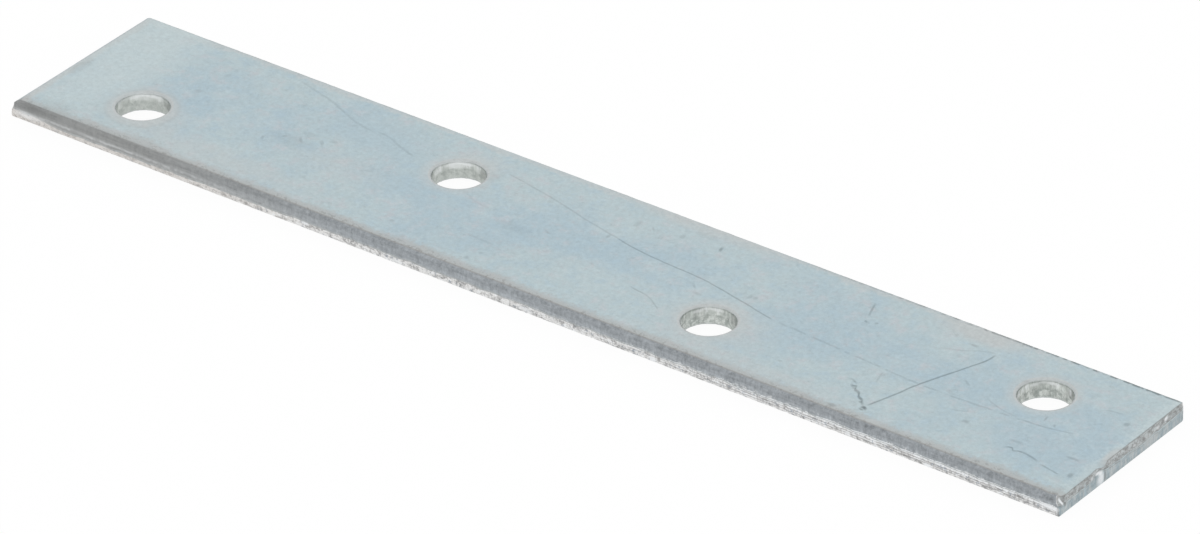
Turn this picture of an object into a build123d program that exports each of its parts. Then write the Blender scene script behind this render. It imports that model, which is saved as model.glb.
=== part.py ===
from build123d import *
from typing import NamedTuple
import os

# A flat mending plate: one piece of zinc plated steel, sheared from strip and
# punched with four plain screw holes in a zigzag. It lies on the XY plane with
# its length along X and its thickness along +Z. The origin is the centre of
# its underside. All sizes are in millimetres.


class ShearedSide(NamedTuple):
    """Shape of one sheared side: a rolled corner, a straight land, a broken zone."""

    roll_width: float
    roll_depth: float
    break_height: float
    break_recess: float


# Flat bar
length = 150.0
width = 25.0
thickness = 2.5

# Screw holes: two on each side of the middle, on two rows, one either side of
# the centre line
hole_diameter = 6.4
end_margin = 13.5
hole_pitch = 40.0
row_offset = 4.7

# Long edges. The blade came down on the -Y side, so its roll is on top. The
# +Y side was held on the bed, so its roll is underneath.
front_edge = ShearedSide(roll_width=1.0, roll_depth=0.5, break_height=0.95, break_recess=0.15)
back_edge = ShearedSide(roll_width=0.6, roll_depth=0.3, break_height=0.8, break_recess=0.15)

# Ends. The -X end was under the blade and the +X end was held on the bed.
left_end = ShearedSide(roll_width=1.3, roll_depth=0.7, break_height=0.9, break_recess=0.2)
right_end = ShearedSide(roll_width=0.4, roll_depth=0.2, break_height=0.9, break_recess=0.2)

# Punched holes: a rounded lip on top, where the punch went in, and a flare
# below, where the slug broke away
lip_radius = 0.35
flare_height = 1.3
flare_width = 0.2


def sheared_profile(half_span: float, struck: ShearedSide, held: ShearedSide):
    """Draw a section through the sheet between two sheared sides.

    The struck side is on the left, with its roll on top and its broken zone
    below. The held side is on the right, the other way up.
    """
    struck_roll_centre = (-half_span + struck.roll_width, thickness - struck.roll_depth)
    held_roll_centre = (half_span - held.roll_width, held.roll_depth)
    with BuildLine() as outline:
        struck_roll = EllipticalCenterArc(
            struck_roll_centre, struck.roll_width, struck.roll_depth, start_angle=90, arc_size=90
        )
        held_roll = EllipticalCenterArc(
            held_roll_centre, held.roll_width, held.roll_depth, start_angle=270, arc_size=90
        )
        Polyline(
            struck_roll @ 1,
            (-half_span, struck.break_height),
            (-half_span + struck.break_recess, 0),
            held_roll @ 0,
        )
        Polyline(
            held_roll @ 1,
            (half_span, thickness - held.break_height),
            (half_span - held.break_recess, thickness),
            struck_roll @ 0,
        )
    make_face(outline.edges())


with BuildPart() as plate:
    # The cross-section, with its two long edges, carried along the length
    with BuildSketch(Plane.YZ.offset(-length / 2)):
        sheared_profile(width / 2, struck=front_edge, held=back_edge)
    extrude(amount=length)

    # The long section, with its two ends, trims the strip to length
    with BuildSketch(Plane.XZ.offset(-width / 2)):
        sheared_profile(length / 2, struck=left_end, held=right_end)
    extrude(amount=width, mode=Mode.INTERSECT)

    # Holes from left to right, alternately on the front and the back row
    outer_x = length / 2 - end_margin
    inner_x = outer_x - hole_pitch
    hole_places = [
        (-outer_x, -row_offset),
        (-inner_x, row_offset),
        (inner_x, -row_offset),
        (outer_x, row_offset),
    ]
    with Locations(Plane.XY.offset(thickness)):
        with Locations(*hole_places):
            Hole(radius=hole_diameter / 2)

    # The lip round the top of each hole
    hole_tops = plate.edges().filter_by(GeomType.CIRCLE).group_by(Axis.Z)[-1]
    fillet(hole_tops, radius=lip_radius)

    # The flare at the foot of each hole, measured out along the underside
    hole_feet = plate.edges().filter_by(GeomType.CIRCLE).group_by(Axis.Z)[0]
    underside = plate.faces().filter_by(Axis.Z).sort_by(Axis.Z)[0]
    chamfer(hole_feet, length=flare_width, length2=flare_height, reference=underside)

plate.part.label = "plate"

os.makedirs("parts", exist_ok=True)
export_step(plate.part, "parts/plate.step")
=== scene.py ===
"""Looks of a flat zinc plated mending plate: its sheared rim, punched holes and worn finish.

Shapes are worked out in millimetres in the frame of the CAD part, with X along the plate, Y across it and
Z up from the underside. They become metres when the mesh is made.
"""

import logging
import math
from dataclasses import dataclass
from enum import Enum
from typing import Any, Callable, Mapping, Sequence

import bpy
import numpy as np
from mathutils import Matrix, Vector


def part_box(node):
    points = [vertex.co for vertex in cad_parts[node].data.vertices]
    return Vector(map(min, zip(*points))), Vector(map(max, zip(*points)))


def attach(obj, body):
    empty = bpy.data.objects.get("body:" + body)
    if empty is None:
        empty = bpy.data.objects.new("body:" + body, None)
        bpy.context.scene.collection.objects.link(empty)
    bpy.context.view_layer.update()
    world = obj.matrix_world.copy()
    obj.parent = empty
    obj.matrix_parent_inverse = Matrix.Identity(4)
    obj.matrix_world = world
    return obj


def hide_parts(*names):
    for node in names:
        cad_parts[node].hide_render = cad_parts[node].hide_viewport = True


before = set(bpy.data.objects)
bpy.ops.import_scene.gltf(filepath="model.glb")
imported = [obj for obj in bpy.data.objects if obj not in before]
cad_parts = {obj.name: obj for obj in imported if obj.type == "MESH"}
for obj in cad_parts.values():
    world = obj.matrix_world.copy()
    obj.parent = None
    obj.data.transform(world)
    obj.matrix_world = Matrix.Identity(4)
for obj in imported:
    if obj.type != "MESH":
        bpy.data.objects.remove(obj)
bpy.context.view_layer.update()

MM = 0.001
log = logging.getLogger("mending_plate")


# --- Arrays ---

LINE_CELLS = 4096
FIELD_CELLS = (1024, 128)


def smooth(value: np.ndarray, low: float, high: float) -> np.ndarray:
    """Rise from 0 at low to 1 at high along 3t^2 - 2t^3, where t is the share of the way between them.

    Args:
        value: Any array.
        low: Value at which the rise starts.
        high: Value at which it ends. It may lie below low, and then the rise runs backwards.

    Returns:
        An array of the same shape, from 0 to 1.
    """
    t = np.clip((value - low) / (high - low), 0.0, 1.0)
    return t * t * (3.0 - 2.0 * t)


def wander(along: np.ndarray, pitch: float, seed: int) -> np.ndarray:
    """Wavy line: random heights at every pitch, joined by smooth steps.

    Args:
        along: Distance along the line, in millimetres.
        pitch: Distance between two random heights.
        seed: Which line this is.

    Returns:
        Heights from -1 to 1.
    """
    heights = np.random.default_rng(seed).uniform(-1.0, 1.0, LINE_CELLS)
    place = along / pitch + LINE_CELLS / 4
    cell = np.floor(place).astype(int)
    t = smooth(place - cell, 0.0, 1.0)
    return heights[cell % LINE_CELLS] * (1.0 - t) + heights[(cell + 1) % LINE_CELLS] * t


def waves(along: np.ndarray, sizes: Sequence[tuple[float, float]], seed: int) -> np.ndarray:
    """Sum of wavy lines, each given by its height and pitch, with seeds that count up."""
    return sum(height * wander(along, pitch, seed + n) for n, (height, pitch) in enumerate(sizes))


def crumble(across: np.ndarray, up: np.ndarray, pitch: tuple[float, float], seed: int) -> np.ndarray:
    """Lumpy field: random heights on a grid of cells, joined by smooth steps both ways.

    Args:
        across: First coordinate, in millimetres.
        up: Second coordinate, in millimetres.
        pitch: Size of a cell along each coordinate.
        seed: Which field this is.

    Returns:
        Heights from -1 to 1.
    """
    wide, tall = FIELD_CELLS
    table = np.random.default_rng(seed).uniform(-1.0, 1.0, FIELD_CELLS)
    a, b = across / pitch[0] + wide / 2, up / pitch[1] + tall / 4
    i, j = np.floor(a).astype(int), np.floor(b).astype(int)
    s, t = smooth(a - i, 0.0, 1.0), smooth(b - j, 0.0, 1.0)
    i, j, i2, j2 = i % wide, j % tall, (i + 1) % wide, (j + 1) % tall
    low = table[i, j] * (1.0 - s) + table[i2, j] * s
    high = table[i, j2] * (1.0 - s) + table[i2, j2] * s
    return low * (1.0 - t) + high * t


def quarter(share: np.ndarray, width: float) -> np.ndarray:
    """Quarter of an ellipse: the width times 1 minus the root of 1 - share^2."""
    return width * (1.0 - np.sqrt(1.0 - share**2))


def section_rows(roll: float, border: np.ndarray, thickness: float, counts: Sequence[int]) -> np.ndarray:
    """Mesh rows down a cut: evenly turned round its rolled corner, then evenly spaced down land and tear.

    Args:
        roll: Depth of the rolled corner.
        border: Depth at which the tear starts, one per column.
        thickness: Thickness of the sheet.
        counts: Rows of the roll, the land and the tear, the last two with the row that they start from.

    Returns:
        Depths below the face that has the rolled corner.
    """
    turn = np.linspace(0.0, math.pi / 2.0, counts[0])
    rolled = roll * (1.0 - np.cos(turn))[:, None] * np.ones_like(border)
    land = roll + np.linspace(0.0, 1.0, counts[1])[1:, None] * (border - roll)
    tear = border + np.linspace(0.0, 1.0, counts[2])[1:, None] * (thickness - border)
    return np.concatenate([rolled, land, tear])


# --- The sheet's cut surfaces ---

ZONES = ("land", "torn", "bore", "end")
BORDER_WAVES = ((0.09, 1.7), (0.05, 0.55))
LUMP_PITCH = (0.9, 0.5)
CHIP_PITCH = (0.38, 0.24)
DRAWN_DEPTH, DRAWN_PITCH = 0.012, 0.7
STRIP_STEPS = (0.0, 0.3, 0.55, 0.75, 0.9)
FACE_STEPS = (0.0, 0.03, 0.1, 0.25, 0.55, 1.0)


class Blade(Enum):
    """Which way a cut went through the sheet."""

    STRUCK = "from above: rolled corner on top, torn zone below"
    HELD = "from below: torn zone on top, rolled corner below"


@dataclass(frozen=True)
class Skin:
    """Points of one part of the surface, and how far each point belongs to the zones of a cut.

    Attributes:
        points: Rows and columns of points, in millimetres.
        zones: Values from 0 to 1 by zone. A zone that isn't there is 0 all over.
    """

    points: np.ndarray
    zones: Mapping[str, np.ndarray]

    def zone(self, name: str) -> np.ndarray:
        """Values of one zone."""
        return self.zones.get(name, np.zeros(self.points.shape[:2]))


@dataclass(frozen=True)
class Cut:
    """What the shear left along one side of the plate.

    Attributes:
        blade: Which way the cut went.
        seed: Which random pattern the side has.
        tear: Height of the torn zone at chosen distances along the side.
        roll_width: How far the rolled corner reaches in from the edge.
        roll_depth: How far it reaches down the edge.
        tear_recess: How far the torn zone falls back from the land.
        grain: Depth of the lumps in the torn zone.
        blunt: Radius of the worn corner where the torn zone meets the flat face.
        is_end: Whether this is one of the plate's short ends.
    """

    blade: Blade
    seed: int
    tear: tuple[tuple[float, float], ...]
    roll_width: float
    roll_depth: float
    tear_recess: float
    grain: float
    blunt: float
    is_end: bool = False


FRONT_CUT = Cut(
    Blade.STRUCK,
    seed=10,
    tear=((0, 1.1), (3.5, 1.1), (6, 0.62), (25, 0.65), (38, 0.85), (80, 0.95), (110, 1.0), (150, 1.05)),
    roll_width=1.0,
    roll_depth=0.5,
    tear_recess=0.05,
    grain=0.09,
    blunt=0.04,
)
RIGHT_CUT = Cut(
    Blade.HELD,
    seed=20,
    tear=((0, 1.1), (6.3, 1.1), (7.2, 0.6), (8, 0.3), (8.9, 0.3), (9.4, 0.8), (11.5, 0.95))
    + ((13.5, 1.15), (17, 1.3), (19, 1.2), (22, 1.0), (25, 0.9)),
    roll_width=0.16,
    roll_depth=0.1,
    tear_recess=0.1,
    grain=0.06,
    blunt=0.1,
    is_end=True,
)
BACK_CUT = Cut(
    Blade.HELD,
    seed=30,
    tear=((0, 0.8), (60, 0.95), (150, 0.75)),
    roll_width=0.6,
    roll_depth=0.3,
    tear_recess=0.06,
    grain=0.05,
    blunt=0.08,
)
LEFT_CUT = Cut(
    Blade.STRUCK,
    seed=40,
    tear=((0, 0.9), (25, 0.9)),
    roll_width=1.3,
    roll_depth=0.7,
    tear_recess=0.1,
    grain=0.1,
    blunt=0.05,
    is_end=True,
)


@dataclass(frozen=True)
class ShearedSide:
    """One sheared side of the plate, seen in section: a rolled corner, a straight land and a torn zone.

    Attributes:
        cut: What the shear left.
        corner: Plan position of the side's first corner, going anticlockwise.
        heading: Plan direction from the first corner to the next.
        span: Length of the side.
        thickness: Thickness of the sheet.
    """

    cut: Cut
    corner: tuple[float, float]
    heading: tuple[float, float]
    span: float
    thickness: float

    def tear_height(self, along: np.ndarray) -> np.ndarray:
        """Torn zone's height: straight lines between the chosen heights, plus a coarse and a fine wave."""
        places, heights = np.array(self.cut.tear, dtype=float).T
        return np.interp(along, places, heights) + waves(along, BORDER_WAVES, self.cut.seed)

    def from_roll(self, height: np.ndarray) -> np.ndarray:
        """Distance down from the face that has the rolled corner."""
        return self.thickness - height if self.cut.blade is Blade.STRUCK else height

    def inset(self, along: np.ndarray, height: np.ndarray) -> np.ndarray:
        """How far the surface lies inside the straight edge line.

        The roll is a quarter of an ellipse, and the worn corner a quarter of a circle. The land stays
        within a few hundredths. The torn zone falls back with the square root of its depth and carries
        lumps that grow from the land and fade again at the worn corner.

        Args:
            along: Distance from the side's first corner.
            height: Height above the underside.

        Returns:
            Inset of each point, never below 0.
        """
        cut = self.cut
        depth = self.from_roll(height)
        tall = self.tear_height(along)
        lift = np.clip((cut.roll_depth - depth) / cut.roll_depth, 0.0, 1.0)
        share = np.clip((depth - (self.thickness - tall)) / tall, 0.0, 1.0)
        left = np.maximum(self.thickness - depth, 0.0)
        lumps = crumble(along, height, LUMP_PITCH, cut.seed + 2)
        chips = crumble(along, height, CHIP_PITCH, cut.seed + 3)
        swell = smooth(share, 0.0, 0.2) * (0.3 + 0.7 * smooth(left, 0.0, 0.3))
        broken = cut.tear_recess * np.sqrt(share) + cut.grain * (0.5 * lumps + 0.5 * chips) * swell
        worn = quarter(np.clip(1.0 - left / cut.blunt, 0.0, 1.0), cut.blunt)
        drawn = DRAWN_DEPTH * (1.0 + wander(along, DRAWN_PITCH, cut.seed + 4)) * smooth(lift, 0.4, 0.0)
        return np.maximum(quarter(lift, cut.roll_width) + worn + broken * (share > 0.0) + drawn, 0.0)

    def rows(self, along: np.ndarray, counts: Sequence[int] = (9, 6, 10)) -> np.ndarray:
        """Heights of the mesh rows, from the top face to the underside.

        Args:
            along: Distances from the side's first corner, one per column.
            counts: Rows of the roll, the land and the tear.

        Returns:
            One row of heights per mesh row, one column per distance.
        """
        border = self.thickness - self.tear_height(along)
        depth = section_rows(self.cut.roll_depth, border, self.thickness, counts)
        return self.thickness - depth if self.cut.blade is Blade.STRUCK else depth[::-1]

    def zones(self, along: np.ndarray, height: np.ndarray) -> dict[str, np.ndarray]:
        """How far each point belongs to the land, the torn zone and a short end.

        The torn zone starts in a narrow step at its border. On a cut from below it ends again at the worn
        corner, where the plating is as smooth as on the face.

        Args:
            along: Distance from the side's first corner.
            height: Height above the underside.

        Returns:
            Values from 0 to 1 by zone.
        """
        cut = self.cut
        depth = self.from_roll(height)
        border = self.thickness - self.tear_height(along)
        blend = 0.12 if cut.is_end else 0.08
        torn = smooth(depth, border - blend, border + blend)
        if cut.blade is Blade.HELD:
            torn = torn * smooth(self.thickness - depth, 0.4 * cut.blunt, 0.9 * cut.blunt)
        land = (depth < border) * smooth(depth, 0.0, 0.25 * cut.roll_depth) * (1.0 - torn)
        return {"torn": torn, "land": land, "end": np.full_like(torn, float(cut.is_end))}

    def place(self, along: np.ndarray, inset: np.ndarray, height: np.ndarray) -> np.ndarray:
        """Put points of the section in the plate's frame.

        A point's plan position is the corner, plus the heading times along, plus the inward normal times
        the inset.

        Args:
            along: Distance from the side's first corner.
            inset: Distance inside the straight edge line.
            height: Height above the underside.

        Returns:
            The points.
        """
        x = self.corner[0] + self.heading[0] * along - self.heading[1] * inset
        y = self.corner[1] + self.heading[1] * along + self.heading[0] * inset
        return np.stack([x, y, height], axis=-1)


@dataclass(frozen=True)
class Rim:
    """The strip of surface round the plate's outline, from its top border over the edge to its lower border.

    Attributes:
        sides: The four sheared sides, anticlockwise.
        margin: How far in from the outline the strip's two borders lie.
        columns: Distances of the columns along each side, measured at the borders.
        thickness: Thickness of the sheet.
        corner_blend: Distance over which the mesh rows of two sides come together at a corner.
    """

    sides: tuple[ShearedSide, ...]
    margin: float
    columns: tuple[np.ndarray, ...]
    thickness: float
    corner_blend: float = 1.5

    def corner_rows(self, side: int) -> np.ndarray:
        """Heights of the mesh rows at a side's first corner: the mean of the two sides that meet there."""
        own, before = self.sides[side], self.sides[side - 1]
        return 0.5 * (own.rows(np.array([0.0])) + before.rows(np.array([before.span])))[:, 0]

    def wall(self, side: int) -> tuple[np.ndarray, np.ndarray, np.ndarray, np.ndarray]:
        """Edge surface of one side.

        Each row runs between the insets of the two neighbours at the corners, so that the sides meet in
        one line.

        Args:
            side: Number of the side.

        Returns:
            Distance along, inset and height of every point, and the share of the way along each column.
        """
        own = self.sides[side]
        before, after = self.sides[side - 1], self.sides[(side + 1) % 4]
        share = (self.columns[side] - self.margin) / (own.span - 2.0 * self.margin)
        first, last = self.corner_rows(side), self.corner_rows((side + 1) % 4)
        start = before.inset(np.full_like(first, before.span), first)
        stop = after.inset(np.zeros_like(last), last)
        along = start[:, None] + share * (own.span - start - stop)[:, None]
        reach = share * own.span
        near = smooth(reach, self.corner_blend, 0.0)
        far = smooth(own.span - reach, self.corner_blend, 0.0)
        height = own.rows(reach) * (1.0 - near - far) + first[:, None] * near + last[:, None] * far
        return along, own.inset(along, height), height, share

    def side_skin(self, side: int) -> Skin:
        """Surface of one side: a flat strip on top, the edge, and a flat strip underneath.

        The flat strips run in straight lines from the border to the edge's first and last row.

        Args:
            side: Number of the side.

        Returns:
            The side's points without its last column, which is the next side's first.
        """
        own = self.sides[side]
        along, inset, height, share = self.wall(side)
        steps = np.array(STRIP_STEPS)[:, None]
        border_along = self.margin + share * (own.span - 2.0 * self.margin)
        top_along = border_along + steps * (along[0] - border_along)
        top_inset = self.margin + steps * (inset[0] - self.margin)
        low_along = border_along + steps[::-1] * (along[-1] - border_along)
        low_inset = self.margin + steps[::-1] * (inset[-1] - self.margin)
        flat = np.zeros_like(top_along)
        top = own.place(top_along, top_inset, flat + self.thickness)
        points = np.concatenate([top, own.place(along, inset, height), own.place(low_along, low_inset, flat)])
        zones = own.zones(along, height).items()
        return Skin(points[:, :-1], {n: np.concatenate([flat, v, flat])[:, :-1] for n, v in zones})

    def skin(self) -> Skin:
        """Surface of all four sides, joined into one closed band.

        Returns:
            The band's points, with one column more for every column of every side.
        """
        parts = [self.side_skin(side) for side in range(4)]
        points = np.concatenate([part.points for part in parts], axis=1)
        return Skin(points, {n: np.concatenate([part.zone(n) for part in parts], axis=1) for n in ZONES})


@dataclass(frozen=True)
class PunchedHole:
    """One punched hole: a rounded lip on top, a straight land and a torn flare that opens downwards.

    Attributes:
        centre: Plan position of the hole's axis.
        radius: Radius of the land.
        thickness: Thickness of the sheet.
        seed: Which random pattern the hole has.
        lip_width: How far the lip reaches out from the land.
        lip_depth: How far the lip reaches down.
        tear_top: Height at which the torn flare starts.
        flare: How much wider the hole is at the underside.
        border_waves: Height and pitch of the waves in the flare's upper border.
        lumps: Pitches of the two kinds of lumps in the flare.
        lump_depth: Depth of each kind.
        ripple: Depth and pitch of the upright ripples in the land.
    """

    centre: tuple[float, float]
    radius: float
    thickness: float
    seed: int
    lip_width: float = 0.35
    lip_depth: float = 0.35
    tear_top: float = 1.35
    flare: float = 0.08
    border_waves: tuple[tuple[float, float], ...] = ((0.16, 2.4), (0.08, 0.7))
    lumps: tuple[tuple[float, float], ...] = ((0.8, 0.7), (0.3, 0.5))
    lump_depth: float = 0.025
    ripple: tuple[float, float] = (0.015, 0.3)

    def border(self, angle: np.ndarray) -> np.ndarray:
        """Height at which the tear starts, round the hole: a mean height with a coarse and a fine wave."""
        return self.tear_top + waves(angle * self.radius, self.border_waves, self.seed)

    def reach(self, angle: np.ndarray, height: np.ndarray) -> np.ndarray:
        """Distance of the wall from the axis.

        The lip is a quarter of an ellipse, the land has fine upright ripples and the flare widens in a
        smooth step towards the underside and carries lumps.

        Args:
            angle: Direction from the axis, in radians.
            height: Height above the underside.

        Returns:
            Distance from the axis of each point.
        """
        turn = angle * self.radius
        lift = np.clip((height - self.thickness + self.lip_depth) / self.lip_depth, 0.0, 1.0)
        border = self.border(angle)
        share = np.clip((border - height) / border, 0.0, 1.0)
        lumps = sum(crumble(turn, height, pitch, self.seed + 2 + n) for n, pitch in enumerate(self.lumps))
        depth, pitch = self.ripple
        ripple = depth * (1.0 + wander(turn, pitch, self.seed + 4)) * smooth(lift, 0.5, 0.0)
        flare = self.flare * smooth(share, 0.0, 1.0) + self.lump_depth * lumps * smooth(share, 0.0, 0.5)
        return self.radius + quarter(lift, self.lip_width) + ripple + flare

    def wall(self, angle: np.ndarray, counts: Sequence[int] = (8, 6, 9)) -> Skin:
        """Surface of the hole's wall from the top face to the underside.

        Args:
            angle: Direction of each column from the axis, in radians.
            counts: Rows of the lip, the land and the flare.

        Returns:
            The wall's points, one column per direction.
        """
        border = self.border(angle)
        depth = section_rows(self.lip_depth, self.thickness - border, self.thickness, counts)
        height = self.thickness - depth
        reach = self.reach(angle, height)
        x, y = self.centre[0] + reach * np.cos(angle), self.centre[1] + reach * np.sin(angle)
        torn = smooth(height, border + 0.08, border - 0.08)
        bore = smooth(depth, 0.2 * self.lip_depth, self.lip_depth)
        return Skin(np.stack([x, y, height], axis=-1), {"torn": torn, "bore": bore})


@dataclass(frozen=True)
class Cell:
    """A rectangle of the flat faces with one hole in it, meshed by straight lines from hole to border.

    Attributes:
        hole: The hole.
        border: Plan positions of the border points, anticlockwise.
    """

    hole: PunchedHole
    border: np.ndarray

    def angles(self) -> np.ndarray:
        """Direction of each border point from the hole's axis."""
        away = self.border - np.array(self.hole.centre)
        return np.arctan2(away[:, 1], away[:, 0])

    def face(self, height: float) -> Skin:
        """Points of the flat face at a height.

        Each line runs from the hole's edge to a border point, with its steps closer together at the hole.

        Args:
            height: Height of the face above the underside.

        Returns:
            The face's points, one row per step and one column per border point.
        """
        angle = self.angles()
        edge = self.hole.reach(angle, np.full_like(angle, height))
        start = np.array(self.hole.centre) + edge[:, None] * np.stack([np.cos(angle), np.sin(angle)], axis=-1)
        plan = start + np.array(FACE_STEPS)[:, None, None] * (self.border - start)
        return Skin(np.concatenate([plan, np.full(plan.shape[:2] + (1,), height)], axis=-1), {})


# --- The plate ---

HOLE_SEEDS = (50, 60, 70, 80)
SHARP_TURN = 48.0


@dataclass(frozen=True)
class Bruise:
    """A dent in the top corner of the right end, where the bar was levered in the shear.

    Attributes:
        place: Distance of the dent's lowest point from the plate's centre line.
        depth: How far the top corner is pressed down there.
        before: How far the dent reaches towards the front edge.
        behind: How far it reaches towards the back edge.
        inward: How far it reaches in over the top face.
    """

    place: float = -3.6
    depth: float = 0.45
    before: float = 1.4
    behind: float = 1.1
    inward: float = 0.9

    def drop(self, x: np.ndarray, y: np.ndarray, end_x: float) -> np.ndarray:
        """Depth of the dent: it falls off both ways along the end and inwards over the top face.

        Args:
            x: Distance along the plate.
            y: Distance across the plate.
            end_x: Where the right end is.

        Returns:
            How far each point sinks.
        """
        offset = y - self.place
        sideways = smooth(offset, -self.before, 0.0) * smooth(offset, self.behind, 0.0)
        return self.depth * sideways * smooth(x, end_x - self.inward, end_x) ** 1.5


@dataclass
class MendingPlate:
    """The whole plate, with its outline taken from the CAD part.

    Attributes:
        length: Size along X.
        width: Size along Y.
        thickness: Size along Z.
        end_margin: Distance from an end to the nearest hole's axis.
        hole_pitch: Distance along X between the two holes of one half.
        row_offset: Distance of each row of holes from the centre line.
        hole_radius: Radius of a hole's land.
        margin: Width of the strip that the rim takes from the flat faces.
        spacing: Distance between mesh columns along the rim.
        bruise: The dent in the right end.
        wear: Radius of the worn plan corners.
        front_wear: How much larger that of the front right corner is at the top.
        droop: How far the front part of the right end's top corner sags.
        corner_sag: How much further the front right corner sags.
        burr: How far the lower front corner of the left end is pushed out.
    """

    length: float
    width: float
    thickness: float
    end_margin: float = 13.5
    hole_pitch: float = 40.0
    row_offset: float = 4.7
    hole_radius: float = 3.2
    margin: float = 2.4
    spacing: float = 0.32
    bruise: Bruise = Bruise()
    wear: float = 0.12
    front_wear: float = 2.0
    droop: float = 0.18
    corner_sag: float = 0.3
    burr: float = 0.5

    @classmethod
    def from_node(cls, node: str) -> "MendingPlate":
        """Make a plate that fills the box of a CAD node."""
        low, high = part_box(node)
        return cls(*((high - low) / MM))

    def sides(self) -> tuple[ShearedSide, ...]:
        """The four sheared sides, anticlockwise from the front.

        Returns:
            Front, right, back and left side.
        """
        x, y = self.length / 2.0, self.width / 2.0
        places = (
            (FRONT_CUT, (-x, -y), (1, 0), self.length),
            (RIGHT_CUT, (x, -y), (0, 1), self.width),
            (BACK_CUT, (x, y), (-1, 0), self.length),
            (LEFT_CUT, (-x, y), (0, -1), self.width),
        )
        return tuple(ShearedSide(*place, self.thickness) for place in places)

    def holes(self) -> tuple[PunchedHole, ...]:
        """The four holes, alternately on the front and the back row.

        Returns:
            The holes from left to right.
        """
        outer = self.length / 2.0 - self.end_margin
        inner = outer - self.hole_pitch
        row = self.row_offset
        centres = ((-outer, -row), (-inner, row), (inner, -row), (outer, row))
        places = zip(centres, HOLE_SEEDS)
        return tuple(PunchedHole(centre, self.hole_radius, self.thickness, seed) for centre, seed in places)

    def stations(self) -> tuple[list[np.ndarray], np.ndarray]:
        """Mesh columns of the flat faces.

        Returns:
            The X stations of each of the four cells, and the Y stations that they share.
        """
        holes = self.holes()
        half, edge = self.length / 2.0 - self.margin, self.width / 2.0 - self.margin
        middles = [0.5 * (a.centre[0] + b.centre[0]) for a, b in zip(holes, holes[1:])]
        splits = [-half] + middles + [half]
        along = [np.linspace(a, b, round((b - a) / self.spacing) + 1) for a, b in zip(splits, splits[1:])]
        return along, np.linspace(-edge, edge, round(2.0 * edge / self.spacing) + 1)

    def rim(self) -> Rim:
        """The band round the outline, with its columns on the stations of the flat faces.

        Returns:
            The rim.
        """
        along, across = self.stations()
        x = np.unique(np.round(np.concatenate(along), 9)) + self.length / 2.0
        y = across + self.width / 2.0
        columns = (x, y, self.length - x[::-1], self.width - y[::-1])
        return Rim(self.sides(), self.margin, columns, self.thickness)

    def cells(self) -> list[Cell]:
        """The four rectangles of the flat faces.

        Returns:
            Each rectangle with its hole and its border points anticlockwise.
        """
        along, y = self.stations()
        cells = []
        for x, hole in zip(along, self.holes()):
            bottom = np.stack([x, np.full_like(x, y[0])], axis=-1)[:-1]
            right = np.stack([np.full_like(y, x[-1]), y], axis=-1)[:-1]
            top = np.stack([x[::-1], np.full_like(x, y[-1])], axis=-1)[:-1]
            left = np.stack([np.full_like(y, x[0]), y[::-1]], axis=-1)[:-1]
            cells.append(Cell(hole, np.concatenate([bottom, right, top, left])))
        return cells

    def ease(self, points: np.ndarray) -> np.ndarray:
        """Finish the shape of all points together: wear the plan corners, sink the right end, add the burr.

        A plan corner's square is drawn onto a quarter disc: a point keeps its direction from the disc's
        centre and takes its larger offset as its distance. The bruise, the droop of the right end's front
        part and the sag of its front corner add up and lower the top most, fading out towards half the
        thickness. The burr pushes the lower front corner of the left end outwards.

        Args:
            points: Points in millimetres.

        Returns:
            The moved points.
        """
        x, y, z = points.T.copy()
        half, side = self.length / 2.0, self.width / 2.0
        front_right = smooth(x, 0.0, 10.0) * smooth(y, 0.0, -5.0) * smooth(z, 0.9, 2.3)
        radius = self.wear + self.front_wear * front_right
        over_x = np.maximum(np.abs(x) - (half - radius), 0.0)
        over_y = np.maximum(np.abs(y) - (side - radius), 0.0)
        shrink = np.maximum(over_x, over_y) / np.maximum(np.hypot(over_x, over_y), 1e-9)
        shrink = np.where((over_x > 0.0) & (over_y > 0.0), shrink, 1.0)
        x -= np.sign(x) * over_x * (1.0 - shrink)
        y -= np.sign(y) * over_y * (1.0 - shrink)
        corner = np.hypot(x - half, y + side)
        droop = self.droop * smooth(x, half - 1.2, half) * smooth(y, -4.5, -6.5)
        sag = self.bruise.drop(x, y, half) + droop + self.corner_sag * smooth(corner, 3.0, 0.4)
        z -= sag * smooth(z, 0.4 * self.thickness, self.thickness)
        x -= self.burr * smooth(x, 3.0 - half, -half) * smooth(y, -8.0, -side) * smooth(z, 1.9, 0.5)
        return np.stack([x, y, z], axis=-1)

    def surface(self) -> tuple[np.ndarray, np.ndarray, dict[str, np.ndarray]]:
        """Join the rim, the flat faces and the hole walls into one closed surface.

        Returns:
            Points in millimetres, faces of four corners, and one array of point values per zone.
        """
        patches: list[tuple[Skin, bool]] = [(self.rim().skin(), False)]
        for cell in self.cells():
            patches.append((cell.face(self.thickness), False))
            patches.append((cell.face(0.0), True))
            patches.append((cell.hole.wall(cell.angles()), True))
        points = np.concatenate([skin.points.reshape(-1, 3) for skin, _ in patches])
        zones = {n: np.concatenate([skin.zone(n).ravel() for skin, _ in patches]) for n in ZONES}
        quads, offset = [], 0
        for skin, flip in patches:
            rows, columns = skin.points.shape[:2]
            number = offset + np.arange(rows * columns).reshape(rows, columns)
            after = np.roll(number, -1, axis=1)
            ring = (number[:-1], number[1:], after[1:], after[:-1])
            quads.append(np.stack(ring[::-1] if flip else ring, axis=-1).reshape(-1, 4))
            offset += rows * columns
        faces = np.concatenate(quads)
        _, first, merged = np.unique(np.round(points, 5), axis=0, return_index=True, return_inverse=True)
        return self.ease(points[first]), merged.ravel()[faces], {n: v[first] for n, v in zones.items()}

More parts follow.
